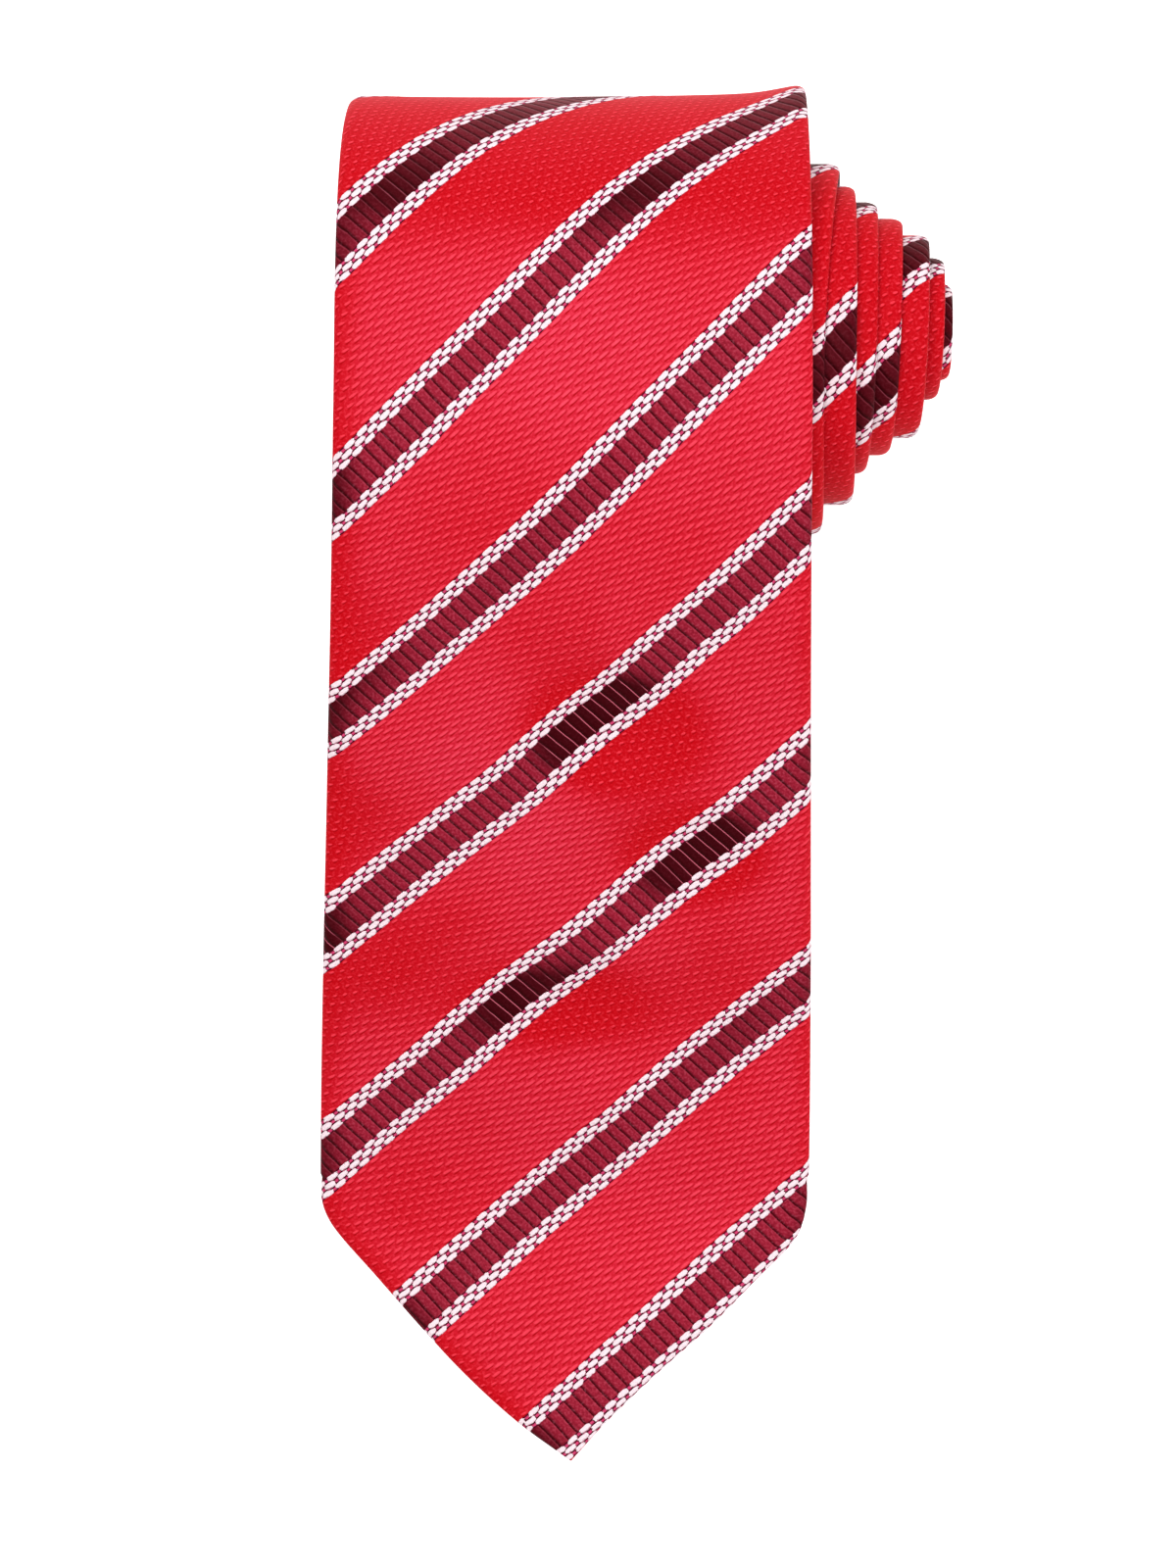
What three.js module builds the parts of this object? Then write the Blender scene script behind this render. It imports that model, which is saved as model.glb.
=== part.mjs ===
// A necktie lying face up on a flat surface, rolled up behind its own front blade.
//
// The tie is one long strip. It is described in strip coordinates: s runs along the tie from the
// point of the front blade, x runs across it, and n is the height over its middle layer, positive
// on the face side. Every piece is a thin sheet in those coordinates, and the strip's own route,
// which lies in the YZ plane, carries it into space. Millimetres, +Z up, +X to the tie's right.
import * as THREE from "three";

// ---------- Driving dimensions ----------

// Thickness of the pressed tie and of the layers in it.
const THICK = 2.4;
const CLOTH = 0.4;
const HALF = THICK / 2;
const TURN_GAP = 0.5; // clear space between neighbouring turns of the roll
const PITCH = THICK + TURN_GAP;

// Outline: the widest half width, then half widths at distances from the blade's point.
const BLADE_HALF = 45;
const HALF_WIDTHS = [[45, 45], [80, 44.6], [185, 41.7], [280, 40.6], [1000, 17.5]];
const TAIL_HALF = 23;
const POINT_SHIFT = 1.5; // the blade's point stands this far right of its middle line
const POINT_BLUNT = 1; // length by which the point is blunt

// Route of the strip in the YZ plane: the blade lies flat, climbs, and goes over the roll.
const POINT_Y = -125.1;
const CLIMB_Y = -84;
const LEAVE_Y = 66.8; // the blade leaves the roll here: the line about which it lifts
const EASE = 35; // length of the climb's bends
const TOP_FLAT_Y = 80;
const SAG_Z = 29; // height at which the sagging outermost turn reaches furthest
const FOOT_Y = [92.8, 68.8]; // the flat on which the roll rests
// Outermost Y that each turn of the roll reaches on its far side and on its near side.
const FAR_Y = [124.1, 117.6, 111.3, 107.4, 104.5, 101.6, 98.7, 94.6, 90.1, 87.2];
const NEAR_Y = [41.8, 45.4, 50.7, 56.2, 59.5, 62.6, 69.4, 72.8, 76.0];
const ROLL_Z = 36.9; // height of the roll's middle

// Sideways place: the blade's middle line near its corners, then the right edge at places counted
// in turns, stepping outward from one turn to the next.
const AXIS_X = -12.15;
const AXIS_S = 48;
const RIGHT_EDGES = [
  [0, 31.0], [1.25, 31.0], [1.75, 33.8], [2, 33.4], [2.25, 37.2], [2.75, 39.3], [3, 39.0], [4, 42.8],
  [5, 47.1], [6, 52.1], [7, 55.2], [8, 56.9], [9, 57.15],
];

// The back: hems, the window in which the tipping shows, and what is sewn on.
const HEM = 12.7; // hem depth, measured across the tie
const SEAM_S = 112; // the two flaps meet here, at the bar tack
const FLAP_SLOPE = 0.58;
const SEAM_GAP = 0.5;
const TIPPING_END = 122;
const TAIL_SEAM = 46; // the same distance from the tail's point
const LABEL_S = [127, 147];
const KEEPER_S = [162, 172];
const CARE_S = [176, 194];
const CUT = 0.3; // gap where one sheet ends and the next begins
const HALF_TURN_STEPS = 9;

// ---------- Route ----------

const v2 = (y, z) => new THREE.Vector2(y, z);
const TOP_Z = 2 * ROLL_Z - HALF;

// An arc of the roll about (y, z), turning clockwise from one angle to another.
function arc(y, alongY, alongZ, from, to, z = ROLL_Z) {
  return new THREE.EllipseCurve(y, z, alongY, alongZ, from, to, true);
}

// The strip's middle line as legs: a curve, its number of steps, and the turn it starts and ends at.
function routeLegs() {
  const quarter = Math.PI / 2;
  const far = FAR_Y.map((y) => y - HALF);
  const near = NEAR_Y.map((y) => y + HALF);
  const leg = (curve, steps, from, to) => ({ curve, steps, from, to });
  const legs = [
    leg(new THREE.LineCurve(v2(POINT_Y, HALF), v2(CLIMB_Y, HALF)), 0, 0, 0),
    leg(
      new THREE.CubicBezierCurve(
        v2(CLIMB_Y, HALF),
        v2(CLIMB_Y + EASE, HALF),
        v2(LEAVE_Y - EASE, TOP_Z),
        v2(LEAVE_Y, TOP_Z),
      ),
      0, 0, 0,
    ),
    leg(new THREE.LineCurve(v2(LEAVE_Y, TOP_Z), v2(TOP_FLAT_Y, TOP_Z)), 1, 0, 0),
    leg(arc(TOP_FLAT_Y, far[0] - TOP_FLAT_Y, TOP_Z - SAG_Z, quarter, 0, SAG_Z), 6, 0, 0.25),
    leg(arc(FOOT_Y[0], far[0] - FOOT_Y[0], SAG_Z - HALF, 0, -quarter, SAG_Z), 5, 0.25, 0.5),
    leg(new THREE.LineCurve(v2(FOOT_Y[0], HALF), v2(FOOT_Y[1], HALF)), 1, 0.5, 0.5),
    leg(arc(FOOT_Y[1], FOOT_Y[1] - near[0], ROLL_Z - HALF, -quarter, -2 * quarter), 5, 0.5, 0.75),
  ];
  // From here the roll is a chain of half turns. Each is as tall as it is wide, unless the turn
  // outside it leaves less room.
  let above = TOP_Z - ROLL_Z;
  let below = ROLL_Z - HALF;
  for (let k = 0; k + 1 < FAR_Y.length; k++) {
    const overWide = (far[k + 1] - near[k]) / 2;
    above = Math.min(overWide, above - PITCH);
    const over = arc((far[k + 1] + near[k]) / 2, overWide, above, 2 * quarter, 0);
    legs.push(leg(over, HALF_TURN_STEPS, k + 0.75, k + 1.25));
    if (k + 1 === NEAR_Y.length) break;
    const underWide = (far[k + 1] - near[k + 1]) / 2;
    below = Math.min(underWide, below - PITCH);
    const under = arc((far[k + 1] + near[k + 1]) / 2, underWide, below, 0, -2 * quarter);
    legs.push(leg(under, HALF_TURN_STEPS, k + 1.25, k + 1.75));
  }
  return legs;
}

// A station is a place on the route with its distance s, turn number, point and face normal.
function stationOn(leg, t, s) {
  const point = leg.curve.getPoint(t);
  const along = leg.curve.getTangent(t);
  const turn = leg.from + (leg.to - leg.from) * t;
  return { s, turn, y: point.x, z: point.y, ny: -along.y, nz: along.x };
}

const legs = routeLegs();
const legStart = [0];
for (const leg of legs) legStart.push(legStart.at(-1) + leg.curve.getLength());
const LENGTH = legStart.at(-1);
const LEAVE_S = legStart[2];

// Places on the free blade at which the outline or a sewn piece has a corner.
const bladeMarks = [
  POINT_BLUNT, 3.5, 8, HEM, 30, BLADE_HALF - POINT_SHIFT, BLADE_HALF + POINT_SHIFT, 49, SEAM_S, SEAM_S + 1.6,
  TIPPING_END, ...LABEL_S, ...KEEPER_S, ...CARE_S, LEAVE_S - CUT / 2,
];

function bladeStations() {
  const marks = new Set(bladeMarks);
  for (let s = 60; s < LEAVE_S - 4; s += 9) marks.add(s);
  return [...marks].sort((a, b) => a - b).map((s) => {
    const k = s < legStart[1] ? 0 : 1;
    const t = legs[k].curve.getUtoTmapping((s - legStart[k]) / (legStart[k + 1] - legStart[k]));
    return stationOn(legs[k], t, s);
  });
}

function rollStations() {
  const found = [stationOn(legs[2], CUT / 2 / (TOP_FLAT_Y - LEAVE_Y), LEAVE_S + CUT / 2)];
  for (let k = 2; k < legs.length; k++) {
    for (let i = 1; i <= legs[k].steps; i++) {
      const s = legStart[k] + ((legStart[k + 1] - legStart[k]) * i) / legs[k].steps;
      found.push(stationOn(legs[k], i / legs[k].steps, s));
    }
  }
  return found;
}

const stations = [...bladeStations(), ...rollStations()];

// ---------- Outline ----------

// A smooth curve through [place, value] points, level at both ends.
function through(points, at) {
  const k = Math.max(1, points.findIndex(([place]) => place >= at));
  const [[a, va], [b, vb]] = [points[k - 1], points[k]];
  const slope = (i, j) => (points[j][1] - points[i][1]) / (points[j][0] - points[i][0]);
  const slopeA = k > 1 ? slope(k - 2, k) : 0;
  const slopeB = k + 1 < points.length ? slope(k - 1, k + 1) : 0;
  const t = THREE.MathUtils.clamp((at - a) / (b - a), 0, 1);
  const ease = va + (vb - va) * t * t * (3 - 2 * t);
  return ease + (b - a) * (slopeA * t * (1 - t) ** 2 - slopeB * t * t * (1 - t));
}

const outline = [...HALF_WIDTHS, [LENGTH - TAIL_HALF, TAIL_HALF], [LENGTH, TAIL_HALF]];
const halfWidth = (s) => through(outline, Math.max(s, BLADE_HALF));

// Left and right edge of the tie at a station, drawn in by an inset all round.
function edges(s, inset = 0) {
  const half = halfWidth(s) - inset;
  const fromPoint = s - inset * Math.SQRT2;
  const fromTail = LENGTH - s - inset * Math.SQRT2;
  const left = Math.max(-half, POINT_SHIFT - fromPoint, -fromTail);
  const right = Math.min(half, POINT_SHIFT + fromPoint, fromTail);
  return [left, right];
}

// Where the folded-back flaps end, on either side of the seam at the back.
function flapEdges(s) {
  const closed = SEAM_GAP / 2;
  const open = (fromEnd, seam) =>
    Math.max(0, Math.min(fromEnd - HEM, (seam - fromEnd) * FLAP_SLOPE));
  const middle = POINT_SHIFT * Math.max(0, 1 - s / SEAM_S);
  const opening = open(s, SEAM_S) + open(LENGTH - s, TAIL_SEAM);
  return [middle - closed - opening, middle + closed + opening];
}

const rightEdgeAt = (turn) => through(RIGHT_EDGES, Math.min(turn, RIGHT_EDGES.at(-1)[0]));

function middleX({ s, turn }) {
  if (s > LEAVE_S) return rightEdgeAt(turn) - halfWidth(s);
  const top = rightEdgeAt(0) - halfWidth(LEAVE_S);
  return THREE.MathUtils.mapLinear(s, AXIS_S, LEAVE_S, AXIS_X, top);
}

// ---------- Sheets ----------

const tie = new THREE.Group();

const finishes = {
  shell: { color: 0xdc1c2e, roughness: 0.5, metalness: 0 },
  canvas: { color: 0xe6dfcf, roughness: 0.95, metalness: 0 },
  lining: { color: 0xa81628, roughness: 0.4, metalness: 0 },
  thread: { color: 0xc81e30, roughness: 0.6, metalness: 0 },
  label: { color: 0x2b1418, roughness: 0.6, metalness: 0 },
  care: { color: 0xf2efe9, roughness: 0.5, metalness: 0 },
};

// A closed sheet over the stations from..to. section(station) gives two rows of [x, n] points of
// the same length, both running right to left: the sheet's upper side and its lower side.
function sheet(name, finish, from, to, section) {
  const reach = stations.filter(({ s }) => s >= from - 1e-6 && s <= to + 1e-6);
  const rows = reach.map((station) => {
    const place = ([x, n]) => [
      x + middleX(station),
      station.y + n * station.ny,
      station.z + n * station.nz,
    ];
    return section(station).map((side) => side.map(place));
  });
  const across = rows[0][0].length;
  const positions = rows.flatMap(([upper, lower]) => [...upper, ...lower]).flat();
  const at = (i, j, side) => (i * 2 + side) * across + j;
  const indices = [];
  const quad = (a, b, c, d) => indices.push(a, b, c, a, c, d);
  const last = across - 1;
  const end = rows.length - 1;
  for (let i = 0; i < end; i++) {
    for (let j = 0; j < last; j++) {
      quad(at(i, j, 0), at(i + 1, j, 0), at(i + 1, j + 1, 0), at(i, j + 1, 0));
      quad(at(i, j, 1), at(i, j + 1, 1), at(i + 1, j + 1, 1), at(i + 1, j, 1));
    }
    quad(at(i, 0, 0), at(i, 0, 1), at(i + 1, 0, 1), at(i + 1, 0, 0));
    quad(at(i, last, 0), at(i + 1, last, 0), at(i + 1, last, 1), at(i, last, 1));
  }
  for (let j = 0; j < last; j++) {
    quad(at(0, j, 0), at(0, j + 1, 0), at(0, j + 1, 1), at(0, j, 1));
    quad(at(end, j, 0), at(end, j, 1), at(end, j + 1, 1), at(end, j + 1, 0));
  }
  const geometry = new THREE.BufferGeometry();
  geometry.setAttribute("position", new THREE.Float32BufferAttribute(positions, 3));
  geometry.setIndex(indices);
  geometry.computeVertexNormals();
  const mesh = new THREE.Mesh(geometry, new THREE.MeshStandardMaterial(finishes[finish]));
  mesh.name = name;
  tie.add(mesh);
}

// The shell: the face, its two rolled edges and the flaps folded to the back.
function shell(name, from, to) {
  const fold = 1.2; // how far the rolled edge bends in from the outline
  const thickEdge = 0.64; // cloth thickness along x at the edge's outermost line
  sheet(name, "shell", from, to, ({ s }) => {
    const [left, right] = edges(s);
    const [flapLeft, flapRight] = flapEdges(s);
    const bend = Math.min(fold, (right - left) * 0.3);
    const wall = Math.min(thickEdge, (right - left) * 0.2);
    const side = (n, sideInset) => [
      [flapRight, -n],
      [right - bend, -n],
      [right - sideInset, 0],
      [right - bend, n],
      [left + bend, n],
      [left + sideInset, 0],
      [left + bend, -n],
      [flapLeft, -n],
    ];
    return [side(HALF, 0), side(HALF - CLOTH, wall)];
  });
}

// A flat layer between two heights, drawn in from the outline.
function layer(name, finish, from, to, low, high, inset) {
  sheet(name, finish, from, to, ({ s }) => {
    const [left, right] = edges(s, inset);
    return [high, low].map((n) => [[right, n], [left, n]]);
  });
}

// A flat strip of fixed width about a line beside the middle.
function strip(name, finish, from, to, low, high, x, width) {
  sheet(name, finish, from, to, () =>
    [high, low].map((n) => [[x + width / 2, n], [x - width / 2, n]]),
  );
}

// ---------- Pieces ----------

const turnEnd = (turn) => legStart[legs.findIndex((leg) => leg.to === turn && leg.from < turn) + 1];
const FRONT_JOIN = turnEnd(2.25); // front and neck pieces of the shell are joined here
const TAIL_JOIN = turnEnd(4.25);
const CANVAS_JOIN = turnEnd(3.25);
const TAIL_POINT = LENGTH - 1.9;

// The last station but one of the roll before a given distance, so that a sheet ends short of it.
const before = (s) => stations.filter((station) => station.s < s - 1e-6).at(-1).s;
const after = (s) => stations.find((station) => station.s > s + 1e-6).s;

// Two extra stations beside each join leave the small gap where one sheet ends and the next begins.
for (const join of [FRONT_JOIN, TAIL_JOIN, CANVAS_JOIN]) {
  const here = stations.findIndex((station) => Math.abs(station.s - join) < 1e-6);
  const k = legs.findIndex((leg, i) => Math.abs(legStart[i + 1] - join) < 1e-6);
  const step = CUT / 2 / (legStart[k + 1] - legStart[k]);
  const nextStep = CUT / 2 / (legStart[k + 2] - legStart[k + 1]);
  const left = stationOn(legs[k], 1 - step, join - CUT / 2);
  const right = stationOn(legs[k + 1], nextStep, join + CUT / 2);
  stations.splice(here, 1, left, right);
}
// The tail ends a little before its route does, where it is still wide enough to be a solid.
const lastLeg = legs.length - 1;
const lastLength = legStart[lastLeg + 1] - legStart[lastLeg];
stations.splice(
  stations.length - 1, 1,
  stationOn(legs[lastLeg], (TAIL_POINT - legStart[lastLeg]) / lastLength, TAIL_POINT),
);

shell("front_shell_blade", 0, LEAVE_S - CUT / 2);
shell("front_shell_wrap", LEAVE_S, FRONT_JOIN);
shell("neck_shell", FRONT_JOIN, TAIL_JOIN);
shell("tail_shell", TAIL_JOIN, LENGTH);

const CANVAS = [-0.3, 0.45];
layer("interlining_blade", "canvas", 8, LEAVE_S, ...CANVAS, 1.9);
layer("interlining_wrap", "canvas", LEAVE_S, CANVAS_JOIN, ...CANVAS, 1.9);
layer("interlining_tail", "canvas", CANVAS_JOIN, before(LENGTH - 6), ...CANVAS, 1.9);

const TIPPING = [-0.7, -0.45];
layer("front_tipping", "lining", 8, TIPPING_END, ...TIPPING, 1.9);
layer("tail_tipping", "lining", after(LENGTH - TAIL_SEAM - 16), before(LENGTH - 6), ...TIPPING, 1.9);

// Seam allowances pressed open behind the face, where two pieces of the shell are joined.
const ALLOWANCE = [0.52, 0.7];
layer("front_join_seam", "shell", before(FRONT_JOIN - 5), after(FRONT_JOIN + 5), ...ALLOWANCE, 2.2);
layer("tail_join_seam", "shell", before(TAIL_JOIN - 5), after(TAIL_JOIN + 5), ...ALLOWANCE, 2.2);

// The slip stitch closes the seam at the back and runs free inside it.
const STITCH = [-1.15, -0.85];
const TAIL_TACK = before(LENGTH - TAIL_SEAM);
strip("slip_stitch_blade", "thread", SEAM_S + 1.6, LEAVE_S, ...STITCH, 0, 0.3);
strip("slip_stitch_roll", "thread", LEAVE_S, before(TAIL_TACK), ...STITCH, 0, 0.3);

// Sewn on the flaps, outside them.
const ON_BACK = [-1.65, -1.3];
strip("front_bar_tack", "thread", SEAM_S, SEAM_S + 1.6, ...ON_BACK, 0, 9);
strip("tail_bar_tack", "thread", before(TAIL_TACK), TAIL_TACK, -1.55, -1.3, 0, 7);
strip("maker_label", "label", ...LABEL_S, ...ON_BACK, 0, 54);
strip("label_stitch_left", "thread", ...LABEL_S, -1.95, -1.7, -26, 0.8);
strip("label_stitch_right", "thread", ...LABEL_S, -1.95, -1.7, 26, 0.8);
strip("care_label", "care", ...CARE_S, ...ON_BACK, 0, 22);

// The keeper: a band across the back, slack enough for the tail to pass through.
const KEEPER_REACH = 29;
const KEEPER_SLACK = 3;
const BAND = 0.9;
sheet("keeper_loop", "shell", ...KEEPER_S, () => {
  const side = (drop) => {
    const sewn = ON_BACK[1] - drop;
    const right = [
      [KEEPER_REACH, sewn],
      [KEEPER_REACH - 4, sewn],
      [KEEPER_REACH - 6 + drop / 2, sewn - KEEPER_SLACK + 0.5],
      [KEEPER_REACH - 9, sewn - KEEPER_SLACK],
    ];
    return [...right, ...right.map(([x, n]) => [-x, n]).reverse()];
  };
  return [side(0), side(BAND)];
});
const TACK_X = KEEPER_REACH - 1.8;
const ON_BAND = [ON_BACK[1] - BAND - 0.35, ON_BACK[1] - BAND - 0.1];
strip("keeper_tack_left", "thread", ...KEEPER_S, ...ON_BAND, -TACK_X, 1);
strip("keeper_tack_right", "thread", ...KEEPER_S, ...ON_BAND, TACK_X, 1);

export default tie;
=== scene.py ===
"""The looks of a necktie that lies rolled up behind its own front blade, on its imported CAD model.

The tie is one long strip. s runs along it from the blade's point, x across it, and n is the height
over its middle layer, positive on the face side. place() carries these into space along the
strip's route. Strip dimensions are in millimetres, and meshes are in metres.
"""

import bpy
import numpy as np
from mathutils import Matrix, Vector


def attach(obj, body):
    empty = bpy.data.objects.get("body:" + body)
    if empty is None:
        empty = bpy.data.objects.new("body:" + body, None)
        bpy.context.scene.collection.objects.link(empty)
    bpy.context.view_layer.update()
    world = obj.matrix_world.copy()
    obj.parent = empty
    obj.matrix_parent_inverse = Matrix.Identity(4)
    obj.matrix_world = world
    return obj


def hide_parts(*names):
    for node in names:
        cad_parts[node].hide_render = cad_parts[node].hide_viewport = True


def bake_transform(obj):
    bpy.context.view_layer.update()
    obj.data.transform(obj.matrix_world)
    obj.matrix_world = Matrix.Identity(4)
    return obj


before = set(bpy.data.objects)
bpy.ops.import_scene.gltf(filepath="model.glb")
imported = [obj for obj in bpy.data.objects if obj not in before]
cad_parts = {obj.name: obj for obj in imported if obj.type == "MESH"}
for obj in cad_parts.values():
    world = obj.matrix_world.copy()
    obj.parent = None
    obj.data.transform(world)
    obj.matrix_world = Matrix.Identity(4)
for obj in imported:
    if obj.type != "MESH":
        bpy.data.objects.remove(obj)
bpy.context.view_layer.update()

# ---------- Driving dimensions, as in the CAD model ----------

THICK, CLOTH, TURN_GAP = 2.4, 0.4, 0.5
HALF, PITCH = THICK / 2, THICK + TURN_GAP
POINT_Y, CLIMB_Y, LEAVE_Y, EASE = -125.1, -84, 66.8, 35
TOP_FLAT_Y, SAG_Z, ROLL_Z, FOOT_Y = 80, 29, 36.9, (92.8, 68.8)
TOP_Z = 2 * ROLL_Z - HALF
FAR_Y = np.array([124.1, 117.6, 111.3, 107.4, 104.5, 101.6, 98.7, 94.6, 90.1, 87.2]) - HALF
NEAR_Y = np.array([41.8, 45.4, 50.7, 56.2, 59.5, 62.6, 69.4, 72.8, 76.0]) + HALF
# The right edge at places counted in turns of the roll.
RIGHT_EDGES = [
    (0, 31.0), (1.25, 31.0), (1.75, 33.8), (2, 33.4), (2.25, 37.2), (2.75, 39.3), (3, 39.0),
    (4, 42.8), (5, 47.1), (6, 52.1), (7, 55.2), (8, 56.9), (9, 57.15),
]
AXIS_S, AXIS_X = 48, -12.15  # the free blade's middle line passes through here
HALF_WIDTHS = [(45, 45), (80, 44.6), (185, 41.7), (280, 40.6), (1000, 17.5)]
TAIL_HALF = 23
# Left and right outline of the blade's point as (s, x), to past its corners. The two meet at
# s = 1, and the points before that only set their slope there.
POINT_LEFT = [
    (-6, 11.4), (1, 1.7), (8, -8), (17, -18), (26, -26.5), (35, -34.5), (44, -42.4), (49, -44.7),
    (54, -44.7),
]
POINT_RIGHT = [
    (-6, -5), (1, 1.7), (8, 8), (17, 17.3), (26, 27.3), (35, 36.1), (42, 42.7), (48, 44.6),
    (54, 44.6),
]
POINT_END = POINT_LEFT[-1][0]
HEM, SEAM_S, FLAP_SLOPE, SEAM_GAP, TAIL_SEAM = 12.7, 112, 0.58, 0.5, 46
EDGE_WALL = 0.64  # thickness of the cloth where it rolls round the tie's edge
PROUD = 0.07  # how far the white floats stand out in the mesh
TIPPING_END, LABEL_S, KEEPER_S, CARE_S = 122, (127, 147), (162, 172), (176, 194)

# ---------- The weave ----------

ROW = 0.943  # spacing of the rows of floats, which run along the stripes
FLOAT = 3.1  # repeat of the floats along a row
RIB = 2.07  # repeat of the ribs across the dark band
REPEAT_ROWS = 34  # rows in one repeat of the stripes
WHITE_ROWS, DARK_ROWS = 3, 6
STRIPE_S = 53.2  # where a stripe's middle crosses the blade's middle line
# How far the stripes of the rolled length lie beyond their even spacing.
STRIPE_DRIFT = [
    (300, 0), (600, -2), (668, -2), (690, 0), (725, 11), (850, 11), (1000, 21), (1135, 24),
    (1275, 25), (1408, 18),
]
# Slow waves of the free blade: height, turns per millimetre along s and x, in radians, and phase.
WAVES = [(0.33, 0.105, 0.055, 0.4), (0.27, 0.062, -0.075, 2.1), (0.18, 0.16, 0.02, 4.0)]
DIP_DEPTH = 1.5
# Dips of the free blade, the deepest three first: s, x, reach along and across, share of DIP_DEPTH.
DENTS = [
    (147, 7, 11, 16, 1.0), (122, 23, 10, 13, 0.9), (90, -2, 10, 18, 0.7), (182, -8, 10, 13, 0.3),
    (168, 26, 9, 10, 0.35), (136, -18, 9, 10, 0.3), (104, 8, 8, 10, -0.4), (70, 12, 8, 12, -0.35),
    (133, 10, 8, 9, -0.4), (166, 6, 8, 10, -0.4), (62, -18, 9, 12, 0.3),
]
# Where the silk of the free blade gets more, or less, painted shade: s, x, reach, amount.
PAINTED_SHADE_SPOTS = [
    (224, -3, 22, -0.32), (143, -17, 13, -0.2), (125, -9, 12, -0.15), (165, -2, 12, 0.22),
    (138, 13, 13, 0.24), (102, -25, 13, 0.24), (95, 25, 13, 0.2), (52, -29, 15, 0.25),
    (192, -12, 14, 0.3), (79, 24, 14, 0.15), (162, -37, 10, 0.35), (130, -37, 10, 0.35),
    (95, -37, 10, 0.3),
]


def smooth(low, high, value):
    t = np.clip((value - low) / (high - low), 0, 1)
    return t * t * (3 - 2 * t)


def through(points, at):
    """A smooth curve through (place, value) points, level at both ends."""
    px, pv = np.array(points, float).T
    slope = np.zeros_like(pv)
    slope[1:-1] = (pv[2:] - pv[:-2]) / (px[2:] - px[:-2])
    at = np.asarray(at, float)
    k = np.clip(np.searchsorted(px, at) - 1, 0, len(px) - 2)
    span = px[k + 1] - px[k]
    t = np.clip((at - px[k]) / span, 0, 1)
    ease = pv[k] + (pv[k + 1] - pv[k]) * t * t * (3 - 2 * t)
    return ease + span * (slope[k] * t * (1 - t) ** 2 - slope[k + 1] * t * t * (1 - t))


# ---------- Route ----------


def ellipse(y, z, along_y, along_z, start, end):
    angle = np.radians(np.linspace(start, end, 400))
    return np.stack([y + along_y * np.cos(angle), z + along_z * np.sin(angle)], 1)


def route():
    """Columns s, turn, y, z and the face normal of the strip's middle layer, closely spaced."""
    t = np.linspace(0, 1, 400)[:, None]
    bend = [(CLIMB_Y, HALF), (CLIMB_Y + EASE, HALF), (LEAVE_Y - EASE, TOP_Z), (LEAVE_Y, TOP_Z)]
    a, b, c, d = (np.array(p) for p in bend)
    climb = (1 - t) ** 3 * a + 3 * (1 - t) ** 2 * t * b + 3 * (1 - t) * t * t * c + t**3 * d
    far, near = FAR_Y, NEAR_Y
    legs = [
        (0, 0, np.linspace((POINT_Y, HALF), (CLIMB_Y, HALF), 100)),
        (0, 0, climb),
        (0, 0, np.linspace((LEAVE_Y, TOP_Z), (TOP_FLAT_Y, TOP_Z), 50)),
        (0, 0.25, ellipse(TOP_FLAT_Y, SAG_Z, far[0] - TOP_FLAT_Y, TOP_Z - SAG_Z, 90, 0)),
        (0.25, 0.5, ellipse(FOOT_Y[0], SAG_Z, far[0] - FOOT_Y[0], SAG_Z - HALF, 0, -90)),
        (0.5, 0.5, np.linspace((FOOT_Y[0], HALF), (FOOT_Y[1], HALF), 50)),
        (0.5, 0.75, ellipse(FOOT_Y[1], ROLL_Z, FOOT_Y[1] - near[0], ROLL_Z - HALF, -90, -180)),
    ]
    above, below = TOP_Z - ROLL_Z, ROLL_Z - HALF
    for k in range(len(near)):
        wide = (far[k + 1] - near[k]) / 2
        above = min(wide, above - PITCH)
        over = ellipse((far[k + 1] + near[k]) / 2, ROLL_Z, wide, above, 180, 0)
        legs.append((k + 0.75, k + 1.25, over))
        if k + 1 < len(near):
            wide = (far[k + 1] - near[k + 1]) / 2
            below = min(wide, below - PITCH)
            under = ellipse((far[k + 1] + near[k + 1]) / 2, ROLL_Z, wide, below, 0, -180)
            legs.append((k + 1.25, k + 1.75, under))
    ends, rows, reached = [], [], 0
    for start, end, points in legs:
        steps = np.linalg.norm(np.diff(points, axis=0), axis=1)
        s = reached + np.r_[0, np.cumsum(steps)]
        reached = s[-1]
        ends.append((end, reached))
        tangent = np.gradient(points, axis=0)
        tangent /= np.linalg.norm(tangent, axis=1)[:, None]
        turn = start + (end - start) * (s - s[0]) / (s[-1] - s[0])
        rows.append(np.column_stack([s, turn, points, -tangent[:, 1], tangent[:, 0]]))
    table = np.concatenate(rows)
    keep = np.r_[True, np.diff(table[:, 0]) > 1e-6]
    return table[keep], ends


ROUTE, LEG_ENDS = route()
LENGTH = ROUTE[-1, 0]
LEAVE_S = LEG_ENDS[1][1]
TURN_END = dict(LEG_ENDS)
FRONT_JOIN, CANVAS_JOIN, TAIL_JOIN = TURN_END[2.25], TURN_END[3.25], TURN_END[4.25]
OUTLINE = HALF_WIDTHS + [(LENGTH - TAIL_HALF, TAIL_HALF), (LENGTH, TAIL_HALF)]


def half_width(s):
    return through(OUTLINE, np.maximum(s, OUTLINE[0][0]))


def edges(s, inset=0.0):
    """Left and right edge of the tie at s, drawn in by an inset all round."""
    s = np.asarray(s, float)
    half = half_width(s)
    back = inset * 1.41
    at_point = s < POINT_END
    left = np.where(at_point, through(POINT_LEFT, s - back) + inset, -half + inset)
    right = np.where(at_point, through(POINT_RIGHT, s - back) - inset, half - inset)
    tail = np.maximum(LENGTH - s - back, 0.2)
    return np.maximum(left, -tail), np.minimum(right, tail)


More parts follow.
